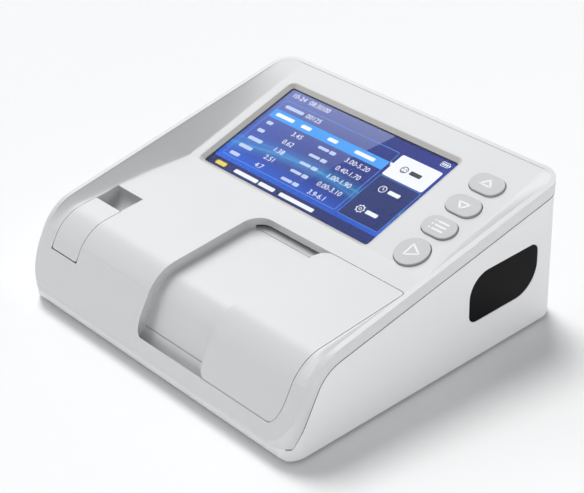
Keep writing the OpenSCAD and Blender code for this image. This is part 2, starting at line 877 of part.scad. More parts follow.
bracket_t = 1.2;
module motor_bracket() {
    lift() color("silver")
        difference() {
            union() {
                translate([pinion_x - motor_w / 2 - 4, motor_y0 - bracket_t, 2 + wall])
                    cube([motor_w + 8, bracket_t, pinion_z + motor_h / 2 - wall - 2]);
                translate([pinion_x - motor_w / 2 - 4, motor_y0 - bracket_t, wall])
                    cube([motor_w + 8, 14, bracket_t + 0.8]);
            }
            translate([pinion_x, motor_y0 - 2, pinion_z])
                rotate([-90, 0, 0])
                    cylinder(d = 7, h = 5);
            for (sx = [-1, 1])
                translate([pinion_x + sx * 6.5, motor_y0 + 8, 0])
                    cylinder(d = 2.6, h = 10);
        }
}

// The tray, the optics and the plugs below them each take a share of the fold's height.
tray_share = 0.1985;
optics_share = 0.2233;
plug_share = 0.0744;
tray_depth = tray_share * fold_pt[1];
optics_h = optics_share * fold_pt[1];
plug_h = plug_share * fold_pt[1];
heater_t = 1.5;
lap = 0.4;
module test_tray() {
    lift() color("dimgray")
        difference() {
            union() {
                on_dish(0, 0, -recess_drop - floor_t - tray_depth)
                    linear_extrude(tray_depth)
                        well_plan(-0.4);
                on_dish(0, 0, -recess_drop - floor_t - 1.6)
                    linear_extrude(1.6)
                        well_plan(1.6);
            }
            on_dish(0, 0, -recess_drop - floor_t - tray_depth + 2)
                linear_extrude(tray_depth + 1)
                    well_plan(-3);
            // Card groove and the reading window in the tray's floor.
            on_dish((well_x0 + well_x1) / 2, (well_v0 + well_v1) / 2, -recess_drop - floor_t - tray_depth - 1)
                cylinder(d = 9, h = 4);
            on_dish((well_x0 + well_x1) / 2 - 5.2, well_v0, -recess_drop - floor_t - tray_depth + 1.2)
                translate([0, 2.4, 0])
                    cube([10.4, well_len - 4.8, 4]);
        }
}

tray_mid = [(well_x0 + well_x1) / 2, (well_v0 + well_v1) / 2];
tray_under = -recess_drop - floor_t - tray_depth;

module heater_plate() {
    lift() color("goldenrod")
        difference() {
            on_dish(tray_mid[0], tray_mid[1], tray_under - heater_t)
                linear_extrude(heater_t)
                    pill(well_w - 8, well_len - 5, 1.5);
            on_dish(tray_mid[0], tray_mid[1], tray_under - 3)
                cylinder(d = 9, h = 6);
        }
}

module optics_block() {
    lift() color("black")
        difference() {
            union() {
                on_dish(tray_mid[0], tray_mid[1], tray_under - heater_t - optics_h)
                    linear_extrude(optics_h)
                        pill(well_w - 10, well_len - 7, 2);
                on_dish(tray_mid[0], tray_mid[1], tray_under - heater_t - lap)
                    cylinder(d = 8.4, h = 1.4 + lap);
            }
            on_dish(tray_mid[0], tray_mid[1], tray_under - 14)
                cylinder(d = 5, h = 20);
            for (a = [-45, 45])
                on_dish(tray_mid[0], tray_mid[1], tray_under)
                    rotate([a, 0, 0])
                        translate([0, 0, -18])
                            cylinder(d = 3, h = 16);
        }
}

module optics_board() {
    lift() color("darkgreen")
        union() {
            on_dish(tray_mid[0], tray_mid[1], tray_under - heater_t - optics_h - board_t)
                linear_extrude(board_t)
                    pill(well_w - 4, well_len - 1, 1);
            for (sx = [-1, 1])
                on_dish(tray_mid[0] + sx * 10.5, tray_mid[1],
                    tray_under - heater_t - optics_h - board_t - plug_h)
                    translate([-2.5, -4, 0])
                        cube([5, 8, plug_h + lap]);
        }
}

module port_flap() {
    lift() color("gainsboro")
        difference() {
            union() {
                intersection() {
                    flap_prism(0);
                    dish_layer(0, flap_t, flap_left - 1, flap_right + 1);
                }
                along_x(flap_left + 2, flap_right - 2)
                    translate(hinge)
                        circle(barrel_r);
            }
            translate([0, hinge[0], hinge[1]])
                rotate([0, 90, 0])
                    cylinder(d = hinge_pin_d + 0.1, h = case_w, center = true);
        }
}

module flap_hinge_pin() {
    lift() color("silver")
        translate([flap_left - 1.5, hinge[0], hinge[1]])
            rotate([0, 90, 0])
                cylinder(d = hinge_pin_d, h = flap_w + 3);
}

module chip_socket() {
    lift() color("black")
        translate([(flap_left + flap_right) / 2, (flap_y0 + flap_y1) / 2 + 2, flap_well_floor])
            difference() {
                translate([-5.5, -4, 0])
                    cube([11, 8, 5.2]);
                translate([-4.2, -2.2, 1.2])
                    cube([8.4, 4.4, 6]);
            }
}

module display_frame() {
    lift() color("darkgray")
        on_console(screen_x, screen_mid_v)
            difference() {
                translate([0, 0, lcd_top])
                    linear_extrude(-lcd_top)
                        pill(frame_out_w(), frame_out_h(), frame_r);
                hull() {
                    translate([0, 0, -screen_sink])
                        linear_extrude(0.01)
                            pill(screen_w, screen_h, 1.2, $fn = 32);
                    translate([0, 0, 0.2])
                        linear_extrude(0.01)
                            pill(frame_out_w() - 0.3, frame_out_h() - 0.3, frame_r - 0.2, $fn = 32);
                }
                translate([0, 0, lcd_top - 1])
                    linear_extrude(glass_t + 1.1)
                        pill(screen_w + 2.4, screen_h + 2.4, 1);
                translate([0, 0, -screen_sink - 0.2])
                    linear_extrude(1)
                        pill(screen_w, screen_h, 1.2);
            }
}

module display_glass() {
    lift() color("midnightblue")
        on_console(screen_x, screen_mid_v, lcd_top + 0.1)
            linear_extrude(glass_t)
                pill(screen_w + 2.2, screen_h + 2.2, 0.9);
}

module lcd_panel() {
    lift() color("silver")
        on_console(screen_x, screen_mid_v, lcd_top - lcd_t)
            difference() {
                union() {
                    linear_extrude(lcd_t)
                        pill(lcd_w, lcd_h, 1);
                    for (e = ear_spots)
                        translate([e[0] - sign(e[0]) * 1.2, e[1], 0])
                            linear_extrude(ear_t)
                                pill(8, 6, 1);
                }
                for (e = ear_spots)
                    translate([e[0], e[1], -1])
                        cylinder(d = 2.4, h = 5);
            }
}

ribbon_t = 0.4;
ribbon_w = 26;
module display_ribbon() {
    top_y = fold_pt[0] + 34 * cos(console_tilt);
    top_z = dish_at(top_y) + (lcd_top - lcd_t) / cos(console_tilt);
    bottom_z = board_z + board_t + 2.2;
    lift() color("orange")
        translate([screen_x - ribbon_w / 2, 0, 0])
            along_x(0, ribbon_w)
                union() {
                    translate([top_y, bottom_z])
                        square([ribbon_t, top_z - bottom_z - 0.3]);
                    translate([top_y - 3, bottom_z - ribbon_t])
                        square([3 + ribbon_t, ribbon_t]);
                }
}

module key_body(v, w, h, r, tall) {
    lift() color("lightgray")
        on_console(key_x, v)
            union() {
                translate([0, 0, -skin - clearance - 1])
                    linear_extrude(skin + clearance + 1 + key_rise)
                        pill(w, h, r);
                translate([0, 0, -skin - clearance - 1])
                    linear_extrude(1)
                        pill(w + 2, min(h + 2, tall), min(h + 2, tall) / 2);
            }
}

module key_up() {
    key_body(key_spots[0], key_w, key_h, key_h / 2, key_pitch - 0.8);
}

module key_down() {
    key_body(key_spots[1], key_w, key_h, key_h / 2, key_pitch - 0.8);
}

module key_menu() {
    key_body(key_spots[2], key_w, key_h, key_h / 2, key_pitch - 0.8);
}

module key_start() {
    key_body(start_v, start_d, start_d, start_d / 2, start_d + 1.6);
}

key_board_n = -skin - clearance - 1 - key_travel - 0.3 - 3.4;
key_posts = [[key_x - 6, key_spots[0] + 8.8], [key_x, start_v - 10.6], [key_x + 12, key_spots[1] - 4]];
module key_board() {
    lift() color("darkgreen")
        difference() {
            union() {
                on_console(key_x, (start_v + key_spots[0]) / 2, key_board_n - board_t)
                    linear_extrude(board_t)
                        pill(22, key_spots[0] - start_v + 25, 1.5);
                on_console(key_x + 10, key_spots[1] - 4, key_board_n - board_t)
                    linear_extrude(board_t)
                        pill(9, 7, 1);
                for (v = concat([start_v], key_spots))
                    on_console(key_x, v, key_board_n)
                        union() {
                            translate([-3.1, -3.1, 0])
                                cube([6.2, 6.2, 2.4]);
                            cylinder(d = 3.4, h = 3.4);
                        }
            }
            for (e = key_posts)
                on_console(e[0], e[1], key_board_n - 3)
                    cylinder(d = 2.4, h = 6);
        }
}

module main_board() {
    lift() color("darkgreen")
        difference() {
            union() {
                translate([board_x0, board_y0, board_z])
                    cube([board_w, board_y1 - board_y0, board_t]);
                // Processor, memory, relays and plugs.
                translate([-30, 24, board_z + board_t])
                    cube([14, 14, 1.6]);
                translate([-8, 20, board_z + board_t])
                    cube([9, 12, 1.4]);
                translate([-50, 16, board_z + board_t])
                    cube([10, 8, 5]);
                translate([screen_x - 14, 35, board_z + board_t])
                    cube([28, 4, 1.6]);
                for (i = [0:3])
                    translate([-58 + i * 6.5, 46, board_z + board_t])
                        cylinder(d = 5, h = 8);
            }
            for (s = board_spots)
                translate([s[0], s[1], 0])
                    cylinder(d = 2.8, h = 30);
        }
}

module battery_pack() {
    lift() color("royalblue")
        translate([battery_x, battery_y, wall])
            union() {
                for (i = [0:battery_cells - 1])
                    translate([(i + 0.5) * battery_pitch - battery_w / 2, 0, battery_cell_d / 2 + 0.2])
                        rotate([90, 0, 0])
                            cylinder(d = battery_cell_d, h = battery_d, center = true);
                translate([-battery_w / 2 + 2, -battery_d / 2 + 1, 0])
                    cube([battery_w - 4, battery_d - 2, 6]);
            }
}

strap_h = battery_cell_d + 1.4;
module battery_strap() {
    lift() color("silver")
        translate([battery_x, battery_y - 8, wall])
            difference() {
                translate([-battery_w / 2 - 3.4, -5, 0])
                    cube([battery_w + 6.8, 10, strap_h]);
                translate([-battery_w / 2 - 2.2, -6, -1])
                    cube([battery_w + 4.4, 12, strap_h]);
            }
}

module speaker() {
    lift() color("black")
        translate([speaker_x, speaker_y, wall])
            difference() {
                cylinder(d = speaker_d, h = 4.5);
                translate([0, 0, 3.2])
                    cylinder(d = 12, h = 2);
            }
}

module side_window() {
    lift() color("black")
        along_x(half_w - base_inset - window_t, half_w - base_inset - 0.1)
            window_shape(0);
}

scanner_x0 = half_w - base_inset - wall - 14;
scanner_z = window_z + 2.6;
module scanner_module() {
    lift() color("dimgray")
        difference() {
            translate([scanner_x0, window_y0 + 8, scanner_z])
                cube([12.4, 22, 15]);
            translate([scanner_x0 + 9, window_y0 + 19, scanner_z + 7.4])
                rotate([0, 90, 0])
                    cylinder(d = 9, h = 6);
        }
}

module power_jack() {
    lift() color("black")
        difference() {
            union() {
                translate([jack_x - 4.5, half_d - base_inset - wall - 11.4, socket_z])
                    cube([9, 11.2, 11]);
                translate([jack_x, half_d - base_inset - 0.4, socket_z + 5.5])
                    rotate([90, 0, 0])
                        cylinder(d = jack_hole - 0.6, h = wall + 2);
            }
            translate([jack_x, half_d, socket_z + 5.5])
                rotate([90, 0, 0])
                    cylinder(d = 6.2, h = 10);
            translate([jack_x, half_d - 12, socket_z + 5.5])
                rotate([90, 0, 0])
                    cylinder(d = 2, h = 1);
        }
}

module data_port() {
    lift() color("silver")
        difference() {
            translate([port_x - 6, half_d - base_inset - wall - 13.6, socket_z])
                cube([12, 15.6, 10.9]);
            translate([port_x - 4.2, half_d - base_inset - 8, socket_z + 1.6])
                cube([8.4, 10, 7.8]);
        }
}

rocker_pivot = half_d - 4.6;
rocker_tilt = 9;
module power_switch_body() {
    lift() color("black")
        difference() {
            union() {
                translate([switch_x - switch_w / 2 + 0.2, half_d - base_inset - 14,
                    switch_z - switch_h / 2 + 0.2])
                    cube([switch_w - 0.4, 14, switch_h - 0.4]);
                translate([switch_x - switch_w / 2 - 1, half_d - base_inset, switch_z - switch_h / 2 - 1])
                    cube([switch_w + 2, base_inset, switch_h + 2]);
            }
            translate([switch_x - 7.7, rocker_pivot - 3, switch_z - 4.9])
                cube([15.4, 20, 9.8]);
            translate([switch_x, rocker_pivot, switch_z - 5.6])
                cylinder(d = 2.1, h = 11.2);
        }
}

module power_rocker() {
    lift() color("black")
        translate([switch_x, rocker_pivot, switch_z])
            union() {
                translate([0, 0, -4.6])
                    linear_extrude(9.2)
                        rotate(-rocker_tilt)
                            polygon([[-6.7, -1.4], [6.7, -1.4], [6.7, 3.4], [0, 2.2], [-6.7, 3.4]]);
                translate([0, 0, -5.5])
                    cylinder(d = 2, h = 11);
            }
}

module rubber_feet() {
    color("dimgray")
        for (s = foot_spots)
            translate([s[0], s[1], 0])
                cylinder(d = foot_d, h = foot_h + foot_seat);
}

module case_screws() {
    lift() color("silver")
        for (s = screw_spots)
            translate([s[0], s[1], head_z - head_t])
                union() {
                    difference() {
                        cylinder(d = head_d, h = head_t);
                        translate([0, 0, -1])
                            cylinder(d = 2.6, h = 2, $fn = 6);
                    }
                    cylinder(d = screw_d - 0.2, h = split_h + 10 - head_z);
                }
}

module board_screws() {
    lift() color("silver")
        for (s = board_spots)
            translate([s[0], s[1], board_z + board_t])
                union() {
                    cylinder(d = 4, h = 1.6);
                    translate([0, 0, -board_t - 4])
                        cylinder(d = 2, h = board_t + 4);
                }
}

module panel_screw() {
    union() {
        translate([0, 0, -1.4])
            cylinder(d = 3.8, h = 1.4);
        cylinder(d = 1.98, h = 4);
    }
}

module panel_screws() {
    lift() color("silver")
        union() {
            for (e = ear_spots)
                on_console(screen_x + e[0], screen_mid_v + e[1], lcd_top - lcd_t)
                    panel_screw();
            for (e = key_posts)
                on_console(e[0], e[1], key_board_n - board_t)
                    panel_screw();
        }
}

base_housing();
top_cover();
chamber_deck();
chamber_door();
door_runner();
door_rack();
drive_pinion();
motor_shaft();
drive_motor();
motor_bracket();
test_tray();
heater_plate();
optics_block();
optics_board();
port_flap();
flap_hinge_pin();
chip_socket();
display_frame();
display_glass();
lcd_panel();
display_ribbon();
key_up();
key_down();
key_menu();
key_start();
key_board();
main_board();
battery_pack();
battery_strap();
speaker();
side_window();
scanner_module();
power_jack();
data_port();
power_switch_body();
power_rocker();
rubber_feet();
case_screws();
board_screws();
panel_screws();
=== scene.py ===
# %% [markdown]
# A benchtop chemistry analyzer, dressed for its picture. The CAD frame brings every solid in its
# place, in metres, with the base on z = 0 and the front towards -Y. What is drawn here is what a solid
# can't carry: soft edges, paint, the lit screen, the printed marks, and the studio round it.

# %% Load the frame
import math

import bmesh
import bpy
from mathutils import Matrix, Vector


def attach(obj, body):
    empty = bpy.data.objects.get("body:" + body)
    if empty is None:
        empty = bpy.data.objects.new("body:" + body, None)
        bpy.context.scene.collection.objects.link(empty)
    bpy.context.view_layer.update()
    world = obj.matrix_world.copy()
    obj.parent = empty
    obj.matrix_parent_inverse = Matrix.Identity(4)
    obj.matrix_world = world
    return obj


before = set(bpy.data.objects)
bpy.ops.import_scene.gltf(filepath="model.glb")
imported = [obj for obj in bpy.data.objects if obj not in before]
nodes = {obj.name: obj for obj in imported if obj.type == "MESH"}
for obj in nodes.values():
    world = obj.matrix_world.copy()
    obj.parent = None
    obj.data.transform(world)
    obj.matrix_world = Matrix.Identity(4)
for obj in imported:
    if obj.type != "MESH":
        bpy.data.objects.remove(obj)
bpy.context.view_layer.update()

MM = 0.001
scene = bpy.context.scene
scene.view_settings.view_transform = "Standard"

# %% [markdown]
# The camera comes first, because every later choice is judged through it. It stands to the front right
# and looks down about 31 degrees, with a long lens, as product pictures are taken. Its three axes were
# solved from the corners of the case, so they are given here as directions rather than as angles.

# %% Camera
camera_place = Vector((422.4, -364.3, 365.3)) * MM
camera_right = Vector((0.66870, 0.74296, -0.02918)).normalized()
camera_forward = Vector((-0.64549, 0.56061, -0.51871)).normalized()
camera_up = camera_right.cross(camera_forward).normalized()
camera_data = bpy.data.cameras.new("camera")
camera_data.lens = 100.65
camera_data.sensor_width = 36
camera = bpy.data.objects.new("camera", camera_data)
axes = Matrix((camera_right, camera_up, -camera_forward)).transposed()
camera.matrix_world = Matrix.Translation(camera_place) @ axes.to_4x4()
scene.collection.objects.link(camera)
scene.camera = camera
print("camera distance (mm):", round(camera_place.length / MM))

# %% [markdown]
# The studio is a pale floor, a sky, one broad key light high on the left, a little behind the object,
# and a low fill from the right. Satin paint shows what stands round it, so the sky isn't even: its left
# side is a large soft panel, brightest towards the back and faded out near the ground, then comes a dim
# strip, and the right side is plain. Surfaces that face up mirror the bright part, the round shoulder
# the dimmer part, and the left slope the dim strip. The key is a sun with a wide disc, for the shadow's
# soft edge, and neither lamp is seen in reflections. The floor's own pale colour makes the white
# background.

# %% Studio
DIM_LEVEL = 0.25
SKY_LEVEL = 0.42
PANEL_LEVEL = 0.80
PANEL_RISE = 2.4
PANEL_SIDE = (0.36, 0.62)
PANEL_BACK = (0.0, 0.5)
PANEL_FOOT = (0.08, 0.36)
PANEL_LEAN = -0.6
STRIP_EDGE = (-0.05, 0.30)
KEY_LEVEL = 0.62
KEY_FROM = (-0.43, 0.20, 0.88)
KEY_DISC = 24
FILL_WATTS = 1.2
FILL_SIZE = (0.9, 0.18)
FILL_PLACE = (0.70, -0.24, 0.10)
FILL_FROM = (0.95, -0.31, 0.02)


def aim(direction):
    """Turns a lamp so that it shines against the direction that points to it."""
    return Vector(direction).to_track_quat("Z", "Y").to_matrix().to_4x4()


def math_node(tree, operation, *values):
    node = tree.nodes.new("ShaderNodeMath")
    node.operation = operation
    for i, value in enumerate(values):
        if isinstance(value, (int, float)):
            node.inputs[i].default_value = value
        else:
            tree.links.new(value, node.inputs[i])
    return node.outputs[0]


def fade(tree, value, start, end, low=0.0, high=1.0):
    """Runs smoothly from low at start to high at end."""
    node = tree.nodes.new("ShaderNodeMapRange")
    node.interpolation_type = "SMOOTHSTEP"
    for label, number in (("From Min", start), ("From Max", end), ("To Min", low), ("To Max", high)):
        node.inputs[label].default_value = number
    tree.links.new(value, node.inputs["Value"])
    return node.outputs["Result"]


world = bpy.data.worlds.new("sky")
world.use_nodes = True
sky = world.node_tree
toward = sky.nodes.new("ShaderNodeSeparateXYZ")
sky.links.new(sky.nodes.new("ShaderNodeTexCoord").outputs["Generated"], toward.inputs["Vector"])
on_left = fade(sky, math_node(sky, "MULTIPLY", toward.outputs["X"], -1.0), *PANEL_SIDE)
panel = fade(sky, toward.outputs["Y"], *PANEL_BACK, PANEL_LEVEL, PANEL_RISE)
even_part = fade(sky, toward.outputs["X"], *STRIP_EDGE, DIM_LEVEL, SKY_LEVEL)
foot_lean = math_node(sky, "MULTIPLY", toward.outputs["Y"], PANEL_LEAN)
aloft = fade(sky, math_node(sky, "ADD", toward.outputs["Z"], foot_lean), *PANEL_FOOT)
panel = math_node(sky, "MULTIPLY", math_node(sky, "MULTIPLY", on_left, panel), aloft)
brightness = math_node(sky, "ADD", panel, even_part)
sky.nodes["Background"].inputs["Color"].default_value = (0.97, 0.985, 1.0, 1)
sky.links.new(brightness, sky.nodes["Background"].inputs["Strength"])
scene.world = world

key_data = bpy.data.lights.new("key", "SUN")
key_data.energy = KEY_LEVEL * math.pi
key_data.angle = math.radians(KEY_DISC)
key_light = bpy.data.objects.new("key", key_data)
key_light.matrix_world = aim(KEY_FROM)
key_light.visible_glossy = False
scene.collection.objects.link(key_light)

fill_data = bpy.data.lights.new("fill", "AREA")
fill_data.shape = "RECTANGLE"
fill_data.size, fill_data.size_y = FILL_SIZE
fill_data.energy = FILL_WATTS
fill_light = bpy.data.objects.new("fill", fill_data)
fill_light.matrix_world = Matrix.Translation(FILL_PLACE) @ aim(FILL_FROM)
fill_light.visible_glossy = False
fill_light.visible_camera = False
scene.collection.objects.link(fill_light)

# %% [markdown]
# Four small node groups carry the detail that the materials share: a moulded grain for the bump, a
# slow drift of tone, a drift of roughness, and the brushed lines of drawn metal. Each is built once
# and placed in a material with its own numbers. All read Object coordinates in metres, so a pattern
# keeps its real size on every piece.

# %% Shared node groups


def new_group(name, inputs, outputs):
    """An empty node group with its sockets. inputs: (name, type, default); outputs: (name, type)."""
    group = bpy.data.node_groups.new(name, "ShaderNodeTree")
    for label, kind, value in inputs:
        socket = group.interface.new_socket(name=label, in_out="INPUT", socket_type=kind)
        socket.default_value = value
    for label, kind in outputs:
        group.interface.new_socket(name=label, in_out="OUTPUT", socket_type=kind)
    entry = group.nodes.new("NodeGroupInput")
    leave = group.nodes.new("NodeGroupOutput")
    coords = group.nodes.new("ShaderNodeTexCoord")
    return group, entry, leave, coords


def noise(tree, vector, scale, detail=2.0, roughness=0.5):
    node = tree.nodes.new("ShaderNodeTexNoise")
    node.inputs["Detail"].default_value = detail
    node.inputs["Roughness"].default_value = roughness
    tree.links.new(vector, node.inputs["Vector"])
    if isinstance(scale, (int, float)):
        node.inputs["Scale"].default_value = scale
    else:
        tree.links.new(scale, node.inputs["Scale"])
    return node


def build_grain():
    group, entry, leave, coords = new_group(
        "moulded_grain",
        [("Scale", "NodeSocketFloat", 2500.0), ("Pits", "NodeSocketFloat", 0.3)],
        [("Height", "NodeSocketFloat")])
    fine = noise(group, coords.outputs["Object"], entry.outputs["Scale"], 3.0, 0.6)
    wide_scale = math_node(group, "MULTIPLY", entry.outputs["Scale"], 0.18)
    wide = noise(group, coords.outputs["Object"], wide_scale, 1.0)
    pits = math_node(group, "MULTIPLY", wide.outputs["Fac"], entry.outputs["Pits"])
    height = math_node(group, "ADD", fine.outputs["Fac"], pits)
    group.links.new(height, leave.inputs["Height"])
    return group


def build_tone():
    group, entry, leave, coords = new_group(
        "tone_drift",
        [("Color", "NodeSocketColor", (0.8, 0.8, 0.8, 1)), ("Amount", "NodeSocketFloat", 0.03),
         ("Scale", "NodeSocketFloat", 30.0)],
        [("Color", "NodeSocketColor")])
    drift = noise(group, coords.outputs["Object"], entry.outputs["Scale"], 3.0)
    centred = math_node(group, "SUBTRACT", drift.outputs["Fac"], 0.5)
    swing = math_node(group, "MULTIPLY", centred, entry.outputs["Amount"])
    gain = math_node(group, "ADD", swing, 1.0)
    scaled = group.nodes.new("ShaderNodeVectorMath")
    scaled.operation = "SCALE"
    group.links.new(entry.outputs["Color"], scaled.inputs[0])
    group.links.new(gain, scaled.inputs["Scale"])
    group.links.new(scaled.outputs["Vector"], leave.inputs["Color"])
    return group


def build_rough():
    group, entry, leave, coords = new_group(
        "roughness_drift",
        [("Base", "NodeSocketFloat", 0.4), ("Spread", "NodeSocketFloat", 0.05),
         ("Scale", "NodeSocketFloat", 60.0)],
        [("Roughness", "NodeSocketFloat")])
    drift = noise(group, coords.outputs["Object"], entry.outputs["Scale"], 4.0, 0.6)
    centred = math_node(group, "SUBTRACT", drift.outputs["Fac"], 0.5)
    swing = math_node(group, "MULTIPLY", centred, entry.outputs["Spread"])
    total = math_node(group, "ADD", entry.outputs["Base"], swing)
    group.links.new(total, leave.inputs["Roughness"])
    return group


def build_brushed():
    group, entry, leave, coords = new_group(
        "brushed_lines",
        [("Scale", "NodeSocketFloat", 400.0)],
        [("Height", "NodeSocketFloat")])
    stretch = group.nodes.new("ShaderNodeMapping")
    stretch.inputs["Scale"].default_value = (0.04, 1.0, 1.0)
    group.links.new(coords.outputs["Object"], stretch.inputs["Vector"])
    lines = noise(group, stretch.outputs["Vector"], entry.outputs["Scale"], 5.0, 0.7)
    group.links.new(lines.outputs["Fac"], leave.inputs["Height"])
    return group


groups = {"grain": build_grain(), "tone": build_tone(), "rough": build_rough(),
          "brushed": build_brushed()}
print("node groups:", [g.name for g in groups.values()])

# %% [markdown]
# One function makes each plain finish: a Principled shader whose colour, roughness and bump come
# through the groups. What is the same all over a finish, such as its coat or its metallic share, is
# set on the shader's own socket.

# %% Finishes


def place_group(tree, kind, **values):
    node = tree.nodes.new("ShaderNodeGroup")
    node.node_tree = groups[kind]
    for label, value in values.items():
        node.inputs[label].default_value = value
    return node


def finish_of(name, color, rough, spread=0.05, metallic=0.0, coat=0.0, gloss=0.5, tone=0.03,
              tone_scale=30.0, grain=2500.0, depth=0.01, relief="grain"):
    """A procedural finish. depth is the height of the bump in millimetres."""
    material = bpy.data.materials.new(name)
    material.use_nodes = True
    tree = material.node_tree
    shader = tree.nodes["Principled BSDF"]
    shader.inputs["Metallic"].default_value = metallic
    shader.inputs["Coat Weight"].default_value = coat
    shader.inputs["Coat Roughness"].default_value = 0.1
    shader.inputs["Specular IOR Level"].default_value = gloss
    drift = place_group(tree, "tone", Color=(*color, 1), Amount=tone, Scale=tone_scale)
    tree.links.new(drift.outputs["Color"], shader.inputs["Base Color"])
    polish = place_group(tree, "rough", Base=rough, Spread=spread)
    tree.links.new(polish.outputs["Roughness"], shader.inputs["Roughness"])
    height = place_group(tree, relief, Scale=grain)
    bump = tree.nodes.new("ShaderNodeBump")
    bump.inputs["Strength"].default_value = 1.0
    bump.inputs["Distance"].default_value = depth * MM
    tree.links.new(height.outputs["Height"], bump.inputs["Height"])
    tree.links.new(bump.outputs["Normal"], shader.inputs["Normal"])
    return material


satin_silver = finish_of("satin_silver", (0.72, 0.72, 0.722), 0.40, metallic=0.40, tone=0.02,
                         grain=3500, depth=0.003)
shell_white = finish_of("shell_white", (0.84, 0.842, 0.845), 0.42, tone=0.015, grain=3000,
                        depth=0.006)
frame_grey = finish_of("frame_grey", (0.64, 0.625, 0.60), 0.38, tone=0.03, grain=3500, depth=0.004)
key_grey = finish_of("key_grey", (0.60, 0.60, 0.61), 0.36, tone=0.02, grain=3500, depth=0.003)
plated_steel = finish_of("plated_steel", (0.60, 0.60, 0.62), 0.28, metallic=1.0, grain=900,
                         depth=0.003, relief="brushed")
drawn_can = finish_of("drawn_can", (0.45, 0.45, 0.47), 0.32, metallic=1.0, grain=700, depth=0.004,
                      relief="brushed")
nylon_ivory = finish_of("nylon_ivory", (0.80, 0.76, 0.64), 0.46, grain=1800, depth=0.008)
tray_dark = finish_of("tray_dark", (0.05, 0.05, 0.055), 0.48, tone=0.1, grain=1800, depth=0.012)
heater_alloy = finish_of("heater_alloy", (0.62, 0.58, 0.47), 0.35, metallic=0.9, grain=900,
                         depth=0.004, relief="brushed")
plastic_black = finish_of("plastic_black", (0.025, 0.025, 0.027), 0.42, tone=0.1, grain=1800,
                          depth=0.012)
board_green = finish_of("board_green", (0.02, 0.15, 0.07), 0.33, tone=0.15, tone_scale=120,
                        coat=0.4, grain=900, depth=0.008)
ribbon_amber = finish_of("ribbon_amber", (0.42, 0.20, 0.04), 0.25, coat=0.5, grain=900,
                         depth=0.003, relief="brushed")
wrap_blue = finish_of("wrap_blue", (0.03, 0.10, 0.40), 0.25, coat=0.6, grain=300, depth=0.02)
rubber_black = finish_of("rubber_black", (0.045, 0.045, 0.045), 0.7, tone=0.15, grain=1500,
                         depth=0.03)
gloss_black = finish_of("gloss_black", (0.003, 0.003, 0.004), 0.06, spread=0.02, gloss=0.06,
                        tone=0.0, grain=120, depth=0.001)
mark_white = finish_of("mark_white", (0.93, 0.93, 0.94), 0.4, tone=0.02, depth=0.002)
print("finishes:", len(bpy.data.materials))

# %% [markdown]
# The cover glass of the screen is clear, so what shows is the lit picture below it and the studio on
# its face. Transmission stays a plain number, and only the roughness drifts a little.

# %% Screen glass
glass = bpy.data.materials.new("screen_glass")
glass.use_nodes = True
glass_shader = glass.node_tree.nodes["Principled BSDF"]
glass_shader.inputs["Base Color"].default_value = (0.97, 0.98, 1.0, 1)
glass_shader.inputs["Transmission Weight"].default_value = 1.0
glass_shader.inputs["IOR"].default_value = 1.20
glass_gloss = place_group(glass.node_tree, "rough", Base=0.02, Spread=0.01, Scale=40.0)
glass.node_tree.links.new(glass_gloss.outputs["Roughness"], glass_shader.inputs["Roughness"])
print("glass made")

# %% [markdown]
# A solid from CAD has knife edges, and real moulded edges catch a thin line of light. Each visible
# shell keeps its CAD mesh and gets the same four modifiers: its loose triangles are welded, flat ones
# are merged, every edge sharper than 30 degrees is rounded, and the normals are weighted so that the
# flat parts stay flat. The outer corners are mitred sharp, because arcs there fold over each other in
# the narrow finger scoop.

# %% Round the edges of the CAD shells
WELD_REACH = 0.002 * MM
SHARP_EDGE = math.radians(30)


def soften(name, radius):
    piece = nodes[name]
    weld = piece.modifiers.new("weld", "WELD")
    weld.merge_threshold = WELD_REACH
    flatten = piece.modifiers.new("flatten", "DECIMATE")
    flatten.decimate_type = "DISSOLVE"
    flatten.angle_limit = math.radians(0.2)
    rounding = piece.modifiers.new("rounding", "BEVEL")
    rounding.width = radius * MM
    rounding.segments = 3
    rounding.limit_method = "ANGLE"
    rounding.angle_limit = SHARP_EDGE
    rounding.miter_outer = "MITER_SHARP"
    rounding.use_clamp_overlap = True
    rounding.harden_normals = False
    normals = piece.modifiers.new("normals", "WEIGHTED_NORMAL")
    normals.weight = 60
    normals.keep_sharp = False


def paint(material, *names):
    for name in names:
        for slot in nodes[name].material_slots:
            slot.material = material


EDGE_RADII = {"base_housing": 0.35, "top_cover": 0.45, "chamber_deck": 0.3, "chamber_door": 0.45,
              "port_flap": 0.25, "display_frame": 0.15, "key_up": 0.3, "key_down": 0.3,
              "key_menu": 0.3, "key_start": 0.3, "side_window": 0.25, "power_rocker": 0.3,
              "rubber_feet": 0.3, "power_jack": 0.2, "data_port": 0.1, "power_switch_body": 0.2,
              "test_tray": 0.2}
for node_name, radius in EDGE_RADII.items():
    soften(node_name, radius)

paint(satin_silver, "top_cover", "chamber_deck", "chamber_door", "port_flap")
paint(shell_white, "base_housing")
paint(frame_grey, "display_frame")
paint(key_grey, "key_up", "key_down", "key_menu", "key_start")
paint(plated_steel, "door_runner", "motor_shaft", "motor_bracket", "flap_hinge_pin", "lcd_panel",
      "battery_strap", "data_port", "case_screws", "board_screws", "panel_screws")
paint(drawn_can, "drive_motor")
paint(nylon_ivory, "door_rack", "drive_pinion")
paint(tray_dark, "test_tray", "scanner_module")
paint(heater_alloy, "heater_plate")
paint(plastic_black, "optics_block", "chip_socket", "speaker", "power_jack", "power_switch_body",
      "power_rocker")
paint(board_green, "optics_board", "key_board", "main_board")
paint(ribbon_amber, "display_ribbon")
paint(wrap_blue, "battery_pack")
paint(rubber_black, "rubber_feet")
paint(gloss_black, "side_window")
paint(glass, "display_glass")
print("softened:", len(EDGE_RADII), "nodes; painted:", len(nodes))

